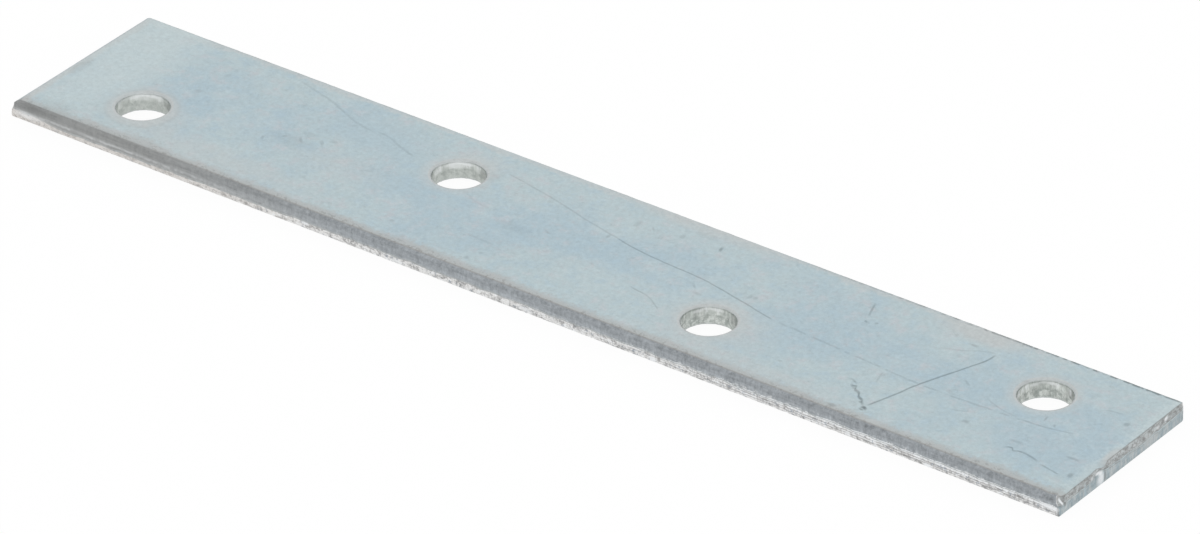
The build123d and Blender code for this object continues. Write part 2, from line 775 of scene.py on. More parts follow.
    def build(self) -> bpy.types.Object:
        """Make the plate's mesh, with its zones as point attributes, and sharp lines where it turns hard.

        Returns:
            The finished piece.
        """
        points, faces, zones = self.surface()
        mesh = bpy.data.meshes.new("mending_plate")
        mesh.from_pydata((points * MM).tolist(), [], faces.tolist())
        for name, values in zones.items():
            layer = mesh.attributes.new(name, "FLOAT", "POINT")
            layer.data.foreach_set("value", values.astype(np.float32))
        mesh.polygons.foreach_set("use_smooth", np.ones(len(mesh.polygons), dtype=bool))
        mesh.set_sharp_from_angle(angle=math.radians(SHARP_TURN))
        mesh.update()
        plate = bpy.data.objects.new("mending_plate", mesh)
        bpy.context.scene.collection.objects.link(plate)
        corners = points[faces]
        spans = np.cross(corners[:, 2] - corners[:, 0], corners[:, 3] - corners[:, 1])
        volume = float((corners.mean(axis=1) * spans).sum() / 6.0)
        log.info("plate: %d points, %d faces, volume %.0f cubic millimetres", len(points), len(faces), volume)
        return plate


# --- Shader maths ---

Colour = tuple[float, float, float, float]


def srgb(red: int, green: int, blue: int) -> Colour:
    """Colour in scene values from the 0 to 255 steps of a colour chart."""
    steps = (red / 255.0, green / 255.0, blue / 255.0)
    return tuple(c / 12.92 if c <= 0.04045 else ((c + 0.055) / 1.055) ** 2.4 for c in steps) + (1.0,)


class Graph:
    """Adds nodes to one material or world."""

    def __init__(self, tree: bpy.types.NodeTree) -> None:
        """Start from an empty tree."""
        self.tree = tree
        tree.nodes.clear()

    def node(
        self,
        kind: str,
        settings: Mapping[str, Any] | None = None,
        sockets: Mapping[str | int, Any] | None = None,
    ) -> bpy.types.Node:
        """Add one node.

        Args:
            kind: Node type without its ShaderNode prefix.
            settings: Properties of the node, set first. "curve" is a curve's (in, out) pairs.
            sockets: Value or link of each input, by name or number.

        Returns:
            The node.
        """
        made = self.tree.nodes.new("ShaderNode" + kind)
        for name, value in (settings or {}).items():
            if name == "curve":
                self._bend(made, value)
            else:
                setattr(made, name, value)
        for name, value in (sockets or {}).items():
            if isinstance(value, Value):
                value = value.socket
            if isinstance(value, bpy.types.NodeSocket):
                self.tree.links.new(value, made.inputs[name])
            else:
                made.inputs[name].default_value = value
        return made

    @staticmethod
    def _bend(made: bpy.types.Node, pairs: Sequence[tuple[float, float]]) -> None:
        """Lay a curve node's line through points.

        Args:
            made: The curve node.
            pairs: Its (in, out) pairs, from left to right.
        """
        curve = made.mapping.curves[0]
        curve.points[0].location, curve.points[1].location = pairs[0], pairs[-1]
        for pair in pairs[1:-1]:
            curve.points.new(*pair)
        made.mapping.update()

    def value(
        self, kind: str, settings: Mapping[str, Any], sockets: Mapping[Any, Any], out: int | str = 0
    ) -> "Value":
        """Add a node and wrap one of its outputs."""
        return Value(self, self.node(kind, settings, sockets).outputs[out])

    def attribute(self, name: str) -> "Value":
        """Read one of the mesh's point attributes."""
        return self.value("Attribute", {"attribute_name": name}, {}, "Fac")

    def noise(self, where: Any, size: float, detail: float = 2.0, rough: float = 0.5) -> "Value":
        """Cloudy field from 0 to 1 whose patches are about size millimetres across."""
        sockets = {"Vector": where, "Scale": 0.5 / (size * MM), "Detail": detail, "Roughness": rough}
        return self.value("TexNoise", {}, sockets)

    def stretched(self, where: Any, scale: tuple[float, float, float]) -> bpy.types.NodeSocket:
        """Coordinates in which a pattern is drawn out along each axis whose scale is under 1."""
        return self.node("Mapping", {"vector_type": "POINT"}, {"Vector": where, "Scale": scale}).outputs[0]

    def mix(self, share: Any, low: Any, high: Any) -> bpy.types.NodeSocket:
        """Blend two colours: low where share is 0, high where it is 1."""
        return self.node("Mix", {"data_type": "RGBA"}, {0: share, 6: low, 7: high}).outputs[2]

    def tint(self, colour: Any, strength: Any) -> bpy.types.NodeSocket:
        """Scale a colour by a value: a blend from black, carried on past the colour where it is over 1."""
        settings = {"data_type": "RGBA", "clamp_factor": False}
        return self.node("Mix", settings, {0: strength, 6: (0.0, 0.0, 0.0, 1.0), 7: colour}).outputs[2]


def operator(operation: str, reflected: bool = False) -> Callable[["Value", Any], "Value"]:
    """Make the method for one arithmetic operator of Value.

    Args:
        operation: The Math node's operation.
        reflected: Whether the other term stands first.

    Returns:
        The method.
    """

    def apply(self: "Value", other: Any) -> "Value":
        """Add the Math node with both terms."""
        return self.math(operation, *((other, self) if reflected else (self, other)))

    return apply


@dataclass(frozen=True)
class Value:
    """A number that varies over a surface, with the usual operators.

    Attributes:
        graph: Where its node stands.
        socket: The output that carries it.
    """

    graph: Graph
    socket: bpy.types.NodeSocket

    __add__, __radd__ = operator("ADD"), operator("ADD", True)
    __sub__, __rsub__ = operator("SUBTRACT"), operator("SUBTRACT", True)
    __mul__, __rmul__ = operator("MULTIPLY"), operator("MULTIPLY", True)
    __truediv__, __rtruediv__ = operator("DIVIDE"), operator("DIVIDE", True)
    __pow__, __rpow__ = operator("POWER"), operator("POWER", True)
    at_least = operator("MAXIMUM")

    def math(self, operation: str, first: Any, second: Any = None) -> "Value":
        """Add a Math node that takes one or two terms."""
        terms = {0: first} if second is None else {0: first, 1: second}
        return self.graph.value("Math", {"operation": operation}, terms)

    def __abs__(self) -> "Value":
        """Size of self without its sign."""
        return self.math("ABSOLUTE", self)

    def near(self, place: float, reach: float, full: float = 0.0) -> "Value":
        """1 within full of a place, falling to 0 at reach from it."""
        return abs(self - place).rise(reach, full)

    def rise(self, low: float, high: float) -> "Value":
        """Smooth step from 0 at low to 1 at high, or falling where low is above high.

        Args:
            low: Value at which the result is 0.
            high: Value at which it is 1.

        Returns:
            The step.
        """
        if low > high:
            return 1.0 - self.rise(high, low)
        sockets = {"Value": self, "From Min": low, "From Max": high}
        return self.graph.value("MapRange", {"interpolation_type": "SMOOTHSTEP", "clamp": False}, sockets)


@dataclass(frozen=True)
class Surface:
    """What a finish can read at each place of the plate's surface.

    Attributes:
        graph: Where the nodes go.
        where: Object coordinates.
        x: Distance along the plate, in millimetres.
        y: Distance across the plate, in millimetres.
        z: Height above the underside, in millimetres.
        land: 1 on the straight land of a sheared side.
        torn: 1 in a torn zone, of a side or of a hole.
        bore: 1 on the wall of a hole.
        end: 1 on the edge of a short end.
        shake: Field from -0.5 to 0.5 that frays the borders of films and marks.
    """

    graph: Graph
    where: Any
    x: Value
    y: Value
    z: Value
    land: Value
    torn: Value
    bore: Value
    end: Value
    shake: Value

    @classmethod
    def read(cls, graph: Graph) -> "Surface":
        """Add the nodes that read the coordinates and the mesh's zones.

        Args:
            graph: Where they go.

        Returns:
            The surface.
        """
        where = graph.node("TexCoord").outputs["Object"]
        parts = graph.node("SeparateXYZ", {}, {0: where}).outputs
        places = (Value(graph, part) * (1.0 / MM) for part in parts)
        zones = (graph.attribute(name) for name in ZONES)
        return cls(graph, where, *places, *zones, graph.noise(where, 1.3, 2.0) - 0.5)

    def noise(self, size: float, detail: float = 3.0, rough: float = 0.6) -> Value:
        """Cloudy field in Object coordinates."""
        return self.graph.noise(self.where, size, detail, rough)


# --- Scratches and spots ---


@dataclass(frozen=True)
class Scratch:
    """A line scored in the zinc, drawn through a few points of the top face.

    Attributes:
        points: Plan points in millimetres, in order along the longer direction of the scratch.
        width: Width of the line.
        dark: How dark the line is, from 0 to 1.
        broken: How far the line breaks up into dashes, from 0 to 1.
    """

    points: tuple[tuple[float, float], ...]
    width: float
    dark: float
    broken: float = 0.0

    def mask(self, x: Value, y: Value, breaks: Value) -> Value:
        """Darkness of the scratch at each place of the top face.

        The line's offset is a curve of the distance along it. The mask falls from full at that curve to
        nothing one width away, and fades at the two ends.

        Args:
            x: Distance along the plate, in millimetres.
            y: Distance across the plate, in millimetres.
            breaks: Field from 0 to 1 that breaks lines into dashes.

        Returns:
            A value from 0 to dark.
        """
        points = np.array(self.points, dtype=float)
        spread = np.ptp(points, axis=0)
        lengthways = spread[0] >= spread[1]
        run, rise = points.T if lengthways else points.T[::-1]
        if run[0] > run[-1]:
            run, rise = run[::-1], rise[::-1]
        main, cross = (x, y) if lengthways else (y, x)
        length, low, height = float(run[-1] - run[0]), float(rise.min()), max(float(np.ptp(rise)), 0.001)
        share = (main - float(run[0])) / length
        pairs = list(zip(((run - run[0]) / length).tolist(), ((rise - low) / height).tolist()))
        bend = x.graph.value("FloatCurve", {"curve": pairs}, {"Value": share})
        width = self.width * math.hypot(height, length) / length
        fade = min(0.45, 0.8 / length)
        line = abs(cross - bend * height - low).rise(width, 0.2 * width)
        line = line * share.rise(0.0, fade) * share.rise(1.0, 1.0 - fade) * self.dark
        return line * (1.0 - breaks.rise(0.54, 0.44) * self.broken) if self.broken else line


class Tone(Enum):
    """Colours that a spot can have, each by the name of the finish's colour."""

    # Pits and stains, and also painted shade in the hole walls and at the corners of the cut edges.
    DARK = "stain_and_shade"
    WARM = "warm"
    COOL = "cool"
    PALE = "pale"
    # Painted highlights: glints and sheen laid on as colour.
    PAINTED_HIGHLIGHT = "bright"


@dataclass(frozen=True)
class Spot:
    """A soft oval patch of another tone anywhere on the surface.

    Attributes:
        centre: Middle of the oval, in millimetres.
        size: Half of its extent along each axis.
        tone: Its colour.
        strength: How far it covers the finish below, from 0 to 1.
    """

    centre: tuple[float, float, float]
    size: tuple[float, float, float]
    tone: Tone
    strength: float

    def mask(self, graph: Graph, where: Any) -> Value:
        """Cover of the spot: full inside 0.4 of its size, fading to nothing at 1.5 of it.

        Args:
            graph: Where the nodes go.
            where: Object coordinates.

        Returns:
            A value from 0 to strength.
        """
        scale = tuple(1.0 / (edge * MM) for edge in self.size)
        shift = tuple(-place / edge for place, edge in zip(self.centre, self.size))
        away = graph.node("VectorMath", {"operation": "MULTIPLY_ADD"}, {0: where, 1: scale, 2: shift})
        reach = graph.value("VectorMath", {"operation": "LENGTH"}, {0: away.outputs[0]}, "Value")
        return reach.rise(1.5, 0.4) * self.strength


def on_top(x: float, y: float, wide: float, deep: float, strength: float, tone: Tone = Tone.DARK) -> Spot:
    """A spot on the top face: its place, its half extents along X and Y, and its strength."""
    return Spot((x, y, 2.5), (wide, deep, 0.9), tone, strength)


def on_end(
    tone: Tone,
    y: float,
    z: float,
    wide: float,
    tall: float,
    strength: float,
    x: float = 75.0,
    deep: float = 0.5,
) -> Spot:
    """A spot on the right end: its place, its half extents along Y and Z, and its strength."""
    return Spot((x, y, z), (deep, wide, tall), tone, strength)


def on_front(
    tone: Tone,
    x: float,
    z: float,
    wide: float,
    tall: float,
    strength: float,
    y: float = -12.5,
    deep: float = 0.5,
) -> Spot:
    """A spot on the front edge: its place, its half extents along X and Z, and its strength."""
    return Spot((x, y, z), (wide, deep, tall), tone, strength)


SCRATCH_TABLE = (
    # The long one, from the far left past the second and the third hole.
    (((-50, 11), (-47, 10.2), (-44, 9.4), (-41, 8.1), (-38, 7), (-35.5, 6.6)), 0.26, 0.1),
    (((-35.5, 6.9), (-34, 6.8), (-31, 5.7), (-28, 4.7)), 0.26, 0.1),
    (((-17, 8.2), (-12, 7.3), (-8, 6.4), (-4, 5.3), (0, 4.3), (4, 3.5)), 0.2, 0.13),
    (((2, 3.9), (8, 2.8), (15, 2.3), (18, 1.8), (22, 0.9), (27.5, -0.4)), 0.18, 0.25),
    (((28, -0.4), (34, -0.8), (42, -1.4), (50, -1.9), (57, -1.7), (64.5, -1.3)), 0.26, 0.15, 1.0),
    (((62, -1.4), (65.5, -1.1), (67, -0.8), (69.2, -0.3)), 0.2, 0.2, 0.4),
    # The straight one across the plate, the jagged one that meets it, and the pit where they meet.
    (((46.6, -9.3), (48, -4.7), (49, -1.4), (50.1, 1.5), (51.3, 4.6), (52, 6.5), (52.3, 8.4)), 0.2, 0.33),
    (((46.2, 6), (48.5, 6.9), (51, 8.3), (52.4, 8.6)), 0.2, 0.13, 0.5),
    (((41.4, -5.7), (42, -5.5), (42.7, -5.8), (43.3, -6)), 0.24, 0.3, 0.5),
    (((42.3, -5.9), (42.9, -6.6), (43.3, -6.5), (43.6, -7.1), (44.3, -7.4))
     + ((44.9, -8.2), (45.5, -8.5), (45.9, -9), (46.5, -9.4)), 0.26, 0.42, 0.3),
    (((46.1, -10.1), (46.5, -9.7), (46.9, -9.8), (47.3, -10.4)), 0.34, 0.5),
    (((46.1, -9.9), (46.6, -10.2), (47.1, -10)), 0.22, 0.35),
    # The crooked one near the front right corner.
    (((63.7, -7.7), (64.2, -7.1), (64.8, -6.9), (65.3, -7.3), (66, -7))
     + ((67.6, -7.2), (69, -7.9)), 0.24, 0.32, 0.3),
    (((69, -7.9), (70.5, -8.1), (72.6, -8.6)), 0.2, 0.22, 0.7),
    # Short ones, from right to left.
    (((56.5, 0.3), (58, -0.5), (60, -1), (62, -1.2)), 0.18, 0.13, 0.4),
    (((54.4, -4.2), (55.5, -4), (57.1, -3)), 0.2, 0.12, 0.4),
    (((64.3, 1.3), (64.4, 0.5), (64.6, -0.3)), 0.2, 0.2),
    (((65.9, 0.1), (66.3, -0.7)), 0.2, 0.2),
    (((56.9, -5.7), (57.4, -5.4), (58.2, -5.4)), 0.4, 0.2),
    (((63.4, -5.6), (65.6, -5.4)), 0.35, 0.15, 0.4),
    (((70.4, -5.2), (71.6, -4.8), (72.8, -5)), 0.3, 0.18),
    (((68.5, 5.4), (69.5, 6.1), (71.2, 6.3)), 0.24, 0.14),
    (((52.2, 2), (53.8, 1)), 0.24, 0.16),
    (((44, -2), (44.4, -3.6), (44.8, -4.8)), 0.22, 0.12),
    (((34.7, 9.8), (35.2, 8.2), (35.8, 6.6)), 0.22, 0.27, 0.3),
    (((36, 6), (36.3, 5.3)), 0.3, 0.24),
    (((13.3, 9.6), (13.6, 8.1)), 0.3, 0.33),
    (((9.4, -3.9), (11, -4.2), (12.5, -4.5), (14.4, -5.5), (15.7, -6.5)), 0.18, 0.17, 0.4),
    (((14.8, 1.2), (16.6, -0.3)), 0.24, 0.16, 0.5),
    (((3.9, 8.4), (5, 7.4)), 0.22, 0.14),
    (((-6, 0.4), (-4.2, -0.1)), 0.28, 0.16, 0.4),
    (((-12.5, -5.6), (-8.2, -5.8)), 0.32, 0.12, 0.4),
    (((-18.5, 2.2), (-17, 1.2), (-15, 0.6), (-13.3, 0.4)), 0.22, 0.07, 0.3),
    (((-39.6, 1.5), (-38.2, 0.3)), 0.35, 0.18, 0.4),
    (((-42.2, 0.8), (-40.6, -0.7)), 0.3, 0.18, 0.4),
    (((-43.9, -0.6), (-43.1, -0.2)), 0.35, 0.2, 0.4),
    (((-45.6, -1.6), (-45.2, -2.8)), 0.3, 0.16),
)
SCRATCHES = tuple(Scratch(*row) for row in SCRATCH_TABLE)

# Films of passivation on the top face, lowest first.
FILMS = (
    on_top(-70, 12.2, 6, 0.9, 0.6, Tone.PALE),
    on_top(74.7, -1.8, 0.55, 2, 0.8, Tone.WARM),
    on_top(-34, 6, 7, 3.5, 0.7, Tone.COOL),
    on_top(66, -5, 7, 4, 0.3, Tone.COOL),
    on_top(-70, 3, 5.5, 14, 0.75, Tone.PALE),
    on_top(-60, -5.5, 5, 3.4, 0.5, Tone.WARM),
    on_top(-20.5, 8.5, 3.2, 1.8, 0.4, Tone.WARM),
    on_top(-34, -2, 6, 2.5, 0.25, Tone.WARM),
    on_top(-48, -9, 14, 2.2, 0.35, Tone.WARM),
    on_top(10, 11.6, 10, 1.3, 0.55, Tone.WARM),
    on_top(48.5, 11, 5.5, 1.7, 0.8, Tone.WARM),
    on_top(23, -4.7, 6, 4.2, 0.45, Tone.WARM),
    on_top(30, -10, 14, 1.3, 0.35, Tone.WARM),
)

# Painted shade: darker patches in the walls of single holes.
HOLE_WALL_SHADE = (
    Spot((18.9, -3.2, 1.6), (1, 1.6, 0.8), Tone.DARK, 0.14),
    Spot((23.5, -2.2, 1.6), (1, 0.9, 0.7), Tone.DARK, 0.12),
    Spot((63.5, 7.2, 1.6), (1, 0.9, 0.7), Tone.DARK, 0.14),
    Spot((-58.5, -4.2, 1.7), (0.5, 1, 0.7), Tone.DARK, 0.12),
    Spot((-18.5, 5.2, 1.7), (0.5, 1, 0.7), Tone.DARK, 0.12),
)

# Painted shade and painted highlights that every hole's wall has: places from the hole's axis and the
# underside, sizes, tones, strengths.
HOLE_WALL_SHADE_AND_HIGHLIGHTS = (
    ((1.7, 2.8, 1.4), (1.1, 0.9, 0.55), Tone.DARK, 0.3),
    ((-1.0, 3.1, 2.0), (0.75, 0.5, 0.22), Tone.PAINTED_HIGHLIGHT, 0.5),
    ((-2.7, 1.7, 1.9), (0.5, 0.75, 0.2), Tone.PAINTED_HIGHLIGHT, 0.4),
    ((-2.0, 2.6, 2.1), (0.9, 0.9, 0.18), Tone.PAINTED_HIGHLIGHT, 0.3),
)

# Pits and stains of the top face.
PIT_TABLE = (
    (43.3, -6.9, 0.24, 0.16, 0.32), (45.7, -9, 0.2, 0.22, 0.36), (73.3, -7.8, 0.3, 0.45, 0.3),
    (72.5, 4.7, 0.35, 0.4, 0.28), (49.1, 8.6, 0.45, 0.2, 0.22), (37.4, 6, 0.25, 0.2, 0.24),
    (33.2, -7.1, 0.3, 0.2, 0.2), (22.3, 2.2, 0.3, 0.5, 0.16), (23, 2.4, 0.25, 0.4, 0.16),
    (17.1, -0.8, 0.45, 0.3, 0.16), (8.2, 8.5, 0.35, 0.45, 0.14), (2.2, 7.8, 0.4, 0.7, 0.12),
    (1.2, 3.5, 0.22, 0.45, 0.2), (-8.8, -1.3, 2, 0.8, 0.09), (-17.6, 6.6, 0.9, 1.1, 0.07),
    (-10.4, 1.2, 0.4, 0.3, 0.1), (-8.6, -8.1, 0.3, 0.25, 0.14), (-9.2, -10, 0.35, 0.3, 0.18),
    (-21.3, -8.4, 0.35, 0.25, 0.14), (-37.8, 1.9, 0.5, 0.3, 0.14), (-41.2, 1.6, 1, 0.5, 0.1),
    (-42.5, -0.8, 3, 1.2, 0.07), (-58.4, 2, 0.45, 0.5, 0.12), (-57.8, 6.9, 0.4, 0.4, 0.1),
    (-57.9, 8.7, 0.3, 0.45, 0.1), (43.4, -11.3, 0.55, 0.3, 0.25), (49, -11.6, 1.2, 0.4, 0.5, Tone.WARM),
    (41, -11.4, 1.8, 0.4, 0.08), (-69.5, -11, 2.5, 1.4, 0.1), (-73.5, -1.5, 0.7, 2.2, 0.13),
    (10.5, 10.4, 1.3, 0.5, 0.06),
)

# Marks of the right end: painted shade at its corners, along its top and beside the dent, with a painted step
# shadow, painted highlights on the dent's facets and along the torn zone, and films.
END_MARKS_AND_PAINTED_LIGHT = (
    on_end(Tone.PALE, -11.3, 0.6, 0.7, 0.7, 0.25),
    on_end(Tone.DARK, 10.8, 1.95, 1.3, 0.4, 0.18),
    on_end(Tone.DARK, -7.5, 1.9, 2, 0.4, 0.1),
    on_end(Tone.PAINTED_HIGHLIGHT, -4.3, 0.75, 0.62, 0.95, 0.62, 74.9, 0.6),
    on_end(Tone.PAINTED_HIGHLIGHT, -4.05, 0.9, 0.3, 0.8, 0.5, 74.9),
    on_end(Tone.PAINTED_HIGHLIGHT, -4.9, 1.85, 0.5, 0.2, 0.85, 74.9),
    on_end(Tone.PAINTED_HIGHLIGHT, -4.35, 1.6, 0.4, 0.25, 0.8, 74.9),
    # The dark upright line is a painted shadow of the dent's step.
    on_end(Tone.DARK, -3.45, 0.85, 0.16, 0.8, 0.5),
    on_end(Tone.DARK, -3.1, 1.75, 0.5, 0.2, 0.3, 74.8, 0.6),
    on_end(Tone.WARM, -9.5, 1.3, 0.8, 0.2, 0.4, 74.9),
    on_end(Tone.PAINTED_HIGHLIGHT, -11.75, 1.55, 0.14, 0.42, 0.9, 74.7),
    on_end(Tone.DARK, -11.3, 1.15, 0.2, 0.35, 0.45, 74.9),
    on_end(Tone.DARK, -12.4, 0.15, 0.3, 0.25, 0.4, 74.9, 0.35),
    on_end(Tone.PAINTED_HIGHLIGHT, 9, 2.05, 0.35, 0.25, 0.8),
    on_end(Tone.PAINTED_HIGHLIGHT, 7.3, 1.75, 0.4, 0.2, 0.45),
    on_end(Tone.PAINTED_HIGHLIGHT, 2.6, 1.75, 0.3, 0.2, 0.45),
    on_end(Tone.PAINTED_HIGHLIGHT, -6, 1.7, 0.25, 0.25, 0.5),
    on_end(Tone.WARM, 5.4, 0.7, 1.3, 0.9, 0.5),
    on_end(Tone.COOL, -7.2, 0.7, 0.25, 0.9, 0.5),
)

# Painted shade at the corners and painted highlights on facets of the front edge.
FRONT_PAINTED_LIGHT = (
    on_front(Tone.DARK, -71.5, 1.9, 3, 0.5, 0.16, -12.2, 0.7),
    on_front(Tone.DARK, 74, 2, 0.9, 0.4, 0.28),
    on_front(Tone.PAINTED_HIGHLIGHT, -73, 0.85, 2, 0.4, 0.45),
    on_front(Tone.PAINTED_HIGHLIGHT, -31, 0.7, 0.5, 0.2, 0.8),
    on_front(Tone.PAINTED_HIGHLIGHT, -17.5, 0.3, 1.2, 0.25, 0.5),
    on_front(Tone.PAINTED_HIGHLIGHT, 1, 0.45, 1.3, 0.3, 0.5),
    on_front(Tone.PAINTED_HIGHLIGHT, 19.3, 0.3, 0.5, 0.3, 0.9),
    on_front(Tone.PAINTED_HIGHLIGHT, 57.3, 0.2, 0.6, 0.25, 0.9),
    on_front(Tone.PAINTED_HIGHLIGHT, 46.3, 0.3, 0.4, 0.3, 0.6),
    on_front(Tone.PAINTED_HIGHLIGHT, 73.5, 0.9, 1.3, 0.3, 0.7),
)
MARKS_AND_PAINTED_LIGHT = HOLE_WALL_SHADE + tuple(on_top(*row) for row in PIT_TABLE) + END_MARKS_AND_PAINTED_LIGHT + FRONT_PAINTED_LIGHT


# --- The finish ---


@dataclass(frozen=True)
class ZincFinish:
    """Pale blue passivated zinc on sheared steel.

    Attributes:
        cool: Bluish patches of the flat faces.
        green: Greenish grey patches.
        pale: Lightest patches.
        warm: Pinkish grey, at the borders and round the holes.
        blue: Bluest of the fine mottling.
        pink: Pinkest of the fine mottling.
        border: Brownish grey along the front edge.
        land: Smooth cut band of the long edges, dark partly as burnished steel and partly as a painted dark
            reflection.
        brown: Film on that band near the left end.
        end_land: Smooth cut band of the short ends.
        end_streak: Paler upright streaks in that band.
        torn_light: Bright facets of the long torn zones, also painted sparkles on the land above them.
        torn_dark: Dark facets of those zones.
        fleck: Bluish flecks in them.
        beige: Film on them near the left end.
        end_light: Bright facets of the short ends.
        end_dark: Dark facets of the short ends.
        bore: Walls of the holes.
        bore_dark: Darker mottling in the walls of the holes.
        bright: Painted highlights, glints and sheen on facets of the edges and in the hole walls.
        stain_and_shade: Scratches and pits, and painted shade in the hole walls and at the corners of the cut
            edges.
        brown_and_edge_shade: Brown grains and cracks, and a thin painted shade line where a flat face turns
            into a cut and along the border of the ends' torn zones.
        roughness: Roughness of the smoothest places.
        relief_strength: How strongly the relief turns the surface.
        relief_depth: Depth of the relief, in metres.
    """

    cool: Colour = srgb(170, 188, 196)
    green: Colour = srgb(178, 193, 197)
    pale: Colour = srgb(189, 201, 203)
    warm: Colour = srgb(187, 191, 191)
    blue: Colour = srgb(163, 185, 199)
    pink: Colour = srgb(190, 190, 194)
    border: Colour = srgb(178, 179, 178)
    # Dark partly as a painted dark reflection of the long edges.
    land: Colour = srgb(150, 155, 159)
    brown: Colour = srgb(148, 146, 141)
    end_land: Colour = srgb(157, 172, 178)
    end_streak: Colour = srgb(172, 178, 179)
    torn_light: Colour = srgb(234, 234, 233)
    torn_dark: Colour = srgb(152, 152, 152)
    fleck: Colour = srgb(158, 168, 180)
    beige: Colour = srgb(206, 200, 194)
    end_light: Colour = srgb(192, 198, 199)
    end_dark: Colour = srgb(141, 143, 143)
    bore: Colour = srgb(208, 213, 209)
    bore_dark: Colour = srgb(140, 149, 145)
    bright: Colour = srgb(240, 243, 245)
    stain_and_shade: Colour = srgb(70, 72, 72)
    brown_and_edge_shade: Colour = srgb(120, 112, 106)
    roughness: float = 0.36
    relief_strength: float = 0.5
    relief_depth: float = 0.0004

    def material(self, plate: MendingPlate) -> bpy.types.Material:
        """Make the material: colour, roughness and relief of every zone.

        The cut sides are laid over the flat faces, a thin brown painted shade line where the two meet, then
        the hole walls, and all marks last, among them painted shade and painted highlights.

        Args:
            plate: The plate, for its size and the places of its holes.

        Returns:
            The material.
        """
        made = bpy.data.materials.new("zinc_plate")
        made.use_nodes = True
        graph = Graph(made.node_tree)
        at = Surface.read(graph)
        flat, flat_relief, marks = self.flat_face(at, plate)
        cut, cut_relief = self.cut_face(at)
        turned = at.land.at_least(at.torn)
        cut_share = turned.rise(0.4, 0.9)
        colour = graph.mix(cut_share, flat, cut)
        # Painted shade: a thin dark brownish line where the flat face turns into the cut, near the top,
        # growing to the left on the long sides and to the right on the ends.
        edge_shade_share = (1.0 - at.end) * at.x.rise(-72.0, -40.0) * 0.35 + at.end * at.x.rise(0.0, 10.0) * 0.35
        edge_shade_line = turned.rise(0.1, 0.4) * turned.rise(0.95, 0.55) * edge_shade_share
        colour = graph.mix(edge_shade_line * at.z.rise(1.4, 1.9), colour, self.brown_and_edge_shade)
        colour = graph.mix(at.bore, colour, self.hole_wall(at))
        # Marks last: pits and stains, and painted shade and painted highlights on the edges and in the hole
        # walls.
        colour = self.lay(at, colour, MARKS_AND_PAINTED_LIGHT + self.hole_shade_and_highlights(plate))
        side = cut_share.at_least(at.bore)
        grain = at.noise(0.25)
        rough = self.roughness + marks * 0.2 + grain * 0.08 + side * at.torn * 0.06 - side * 0.06
        height = flat_relief * (1.0 - side) + cut_relief * side
        sockets = {"Strength": self.relief_strength, "Distance": self.relief_depth, "Height": height}
        normal = graph.node("Bump", {}, sockets).outputs[0]
        sockets = {"Base Color": colour, "Metallic": 1.0, "Roughness": rough, "Normal": normal}
        shader = graph.node("BsdfPrincipled", {}, sockets)
        graph.node("OutputMaterial", {}, {"Surface": shader.outputs[0]})
        return made

    def hole_shade_and_highlights(self, plate: MendingPlate) -> tuple[Spot, ...]:
        """Painted shade on the right of each hole's wall and three painted highlights under the lip on its
        left.

        Args:
            plate: The plate, for the places of its holes.

        Returns:
            Four spots for each hole.
        """
        return tuple(
            Spot((hole.centre[0] + x, hole.centre[1] + y, z), size, tone, strength)
            for hole in plate.holes()
            for (x, y, z), size, tone, strength in HOLE_WALL_SHADE_AND_HIGHLIGHTS
        )

    def lay(self, at: Surface, colour: Any, spots: tuple[Spot, ...]) -> Any:
        """Lay spots over a colour, one after the other, with frayed borders.

        Args:
            at: The surface.
            colour: What the spots are laid on.
            spots: The spots, lowest first.

        Returns:
            The new colour.
        """
        fray = 0.6 * MM
        push = at.graph.node("CombineXYZ", {}, {0: at.shake * fray, 1: at.shake * -fray}).outputs[0]
        frayed = at.graph.node("VectorMath", {"operation": "ADD"}, {0: at.where, 1: push}).outputs[0]
        for spot in spots:
            colour = at.graph.mix(spot.mask(at.graph, frayed), colour, getattr(self, spot.tone.value))
        return colour

    def flat_face(self, at: Surface, plate: MendingPlate) -> tuple[Any, Value, Value]:
        """Finish of the flat faces: clouds of passivation, borders, halos, films, scratches and stains.

        Args:
            at: The surface.
            plate: The plate, for its size and the places of its holes.

        Returns:
            Colour, relief and the darkness of all marks.
        """
        graph, x, y = at.graph, at.x + at.shake * 0.3, at.y - at.shake * 0.3
        half, side = plate.length / 2.0, plate.width / 2.0
        clouds, drift = at.noise(7.0), at.noise(2.6)
        blotch, fine = at.noise(1.0, 3.0, 0.7), at.noise(0.3, 3.0, 0.8)

        # Clouds: greener away from the middle, with paler drifts and a fine blue and pink mottling.
        colour = graph.mix((clouds + abs(y) * 0.02).rise(0.44, 0.74), self.cool, self.green)
        colour = graph.mix(drift.rise(0.5, 0.8) * 0.5, colour, self.pale)
        colour = graph.mix(blotch.rise(0.5, 0.72) * 0.45, colour, self.pink)
        colour = graph.mix(blotch.rise(0.5, 0.3) * 0.35, colour, self.blue)

        # Borders, all ragged: back and left warm, right pale, front brownish with brown grains.
        ragged = (drift - 0.5) * 2.6 + (fine - 0.5) * 2.4
        back = (y + ragged).rise(side - 1.3, side - 0.6) * (1.0 - x.rise(50.0, 68.0)) * 0.6
        left = (x + ragged * 0.4).rise(2.0 - half, 1.2 - half) * 0.9
        colour = graph.mix(back.at_least(left), colour, self.warm)
        colour = graph.mix((x + ragged).rise(half - 2.0, half - 0.4) * 0.7, colour, self.pale)
        front = (y + ragged).rise(2.2 - side, 0.8 - side)
        colour = graph.mix(front * 0.75, colour, self.border)
        colour = graph.mix(front * fine.rise(0.5, 0.62) * 0.3, colour, self.brown_and_edge_shade)

